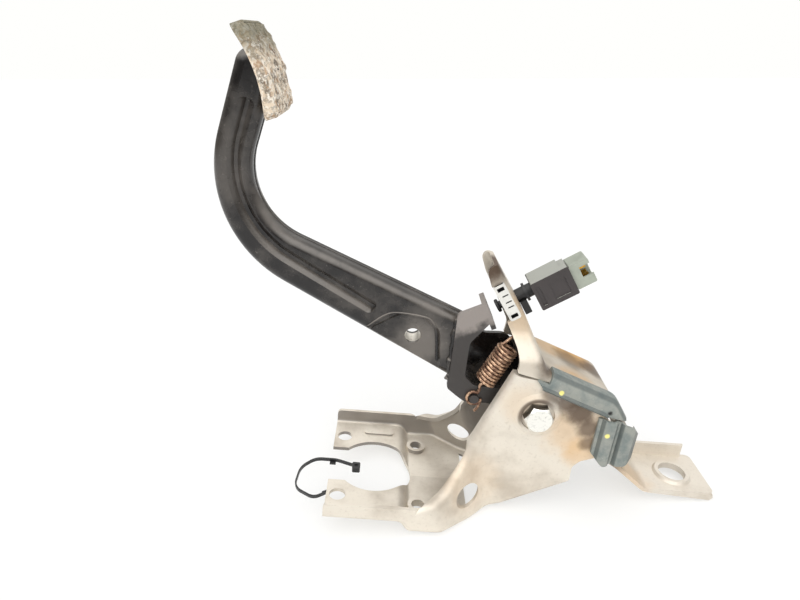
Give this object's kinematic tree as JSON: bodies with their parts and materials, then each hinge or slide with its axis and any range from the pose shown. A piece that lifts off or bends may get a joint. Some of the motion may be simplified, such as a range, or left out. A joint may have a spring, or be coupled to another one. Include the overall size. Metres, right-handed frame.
{
  "type": "brake pedal",
  "caption": "Hanging brake pedal: curved pressed arm with ribbed rubber pad, turning in a folded sheet bracket with return spring and lamp switch.",
  "frame": {"origin": "centre of the booster opening, on the mounting face of the flange that meets the firewall", "axes": "+Z away from the firewall, +X up in the vehicle, +Y along the pivot, away from the side with the bolt head"},
  "size_m": [0.3285, 0.102, 0.2823],
  "materials": {
    "bracket_zinc": "zinc coated sheet with heat tint",
    "teal_coat": "grey-green coat",
    "leg_zinc": "zinc coated sheet",
    "black_coat": "gloss black dip coat",
    "bolt_zinc": "bright zinc",
    "bush_plastic": "moulded",
    "spring_steel": "oxidised wire",
    "holder_white": "moulded",
    "switch_black": "moulded",
    "connector_grey": "moulded",
    "terminal_brass": "plated",
    "pad_rubber": "ribbed, dusty",
    "tie_black": "moulded"
  },
  "bodies": {
    "bracket": {"near_side_plate": "bracket_zinc", "far_side_plate": "bracket_zinc", "upper_bracket": "bracket_zinc", "seam_stiffener": "teal_coat", "end_clamp": "teal_coat", "rear_leg": "leg_zinc", "pivot_bolt": "bolt_zinc", "pivot_nut": "bolt_zinc", "pivot_washer": "bolt_zinc", "pivot_sleeve": "bolt_zinc", "switch_holder": "holder_white", "switch_barrel": "switch_black", "switch_body": "switch_black", "switch_connector": "connector_grey", "switch_terminals": "terminal_brass", "return_spring": "spring_steel", "cable_tie": "tie_black"},
    "pedal": {"near_arm_shell": "black_coat", "far_arm_shell": "black_coat", "pin_collar": "black_coat", "near_hub_plate": "black_coat", "far_hub_plate": "black_coat", "hub_tube": "black_coat", "near_bush": "bush_plastic", "far_bush": "bush_plastic", "pad_plate": "black_coat", "pad_rubber": "pad_rubber"},
    "plunger": {"switch_plunger": "holder_white"}
  },
  "joints": [
    {"name": "pedal_pivot", "type": "hinge", "parent": "bracket", "child": "pedal", "pos_m": [0.096, 0, 0.071], "axis": [0, -1, 0], "range_deg": [0, 27], "stiffness_Nm_per_rad": 4, "springref_deg": -17.19, "deforming": ["return_spring"]},
    {"name": "plunger_slide", "type": "slide", "parent": "bracket", "child": "plunger", "axis": [0.8241, 0, 0.5664], "range_m": [0, 0.0013], "stiffness_N_per_m": 400, "springref_m": -0.004}
  ]
}
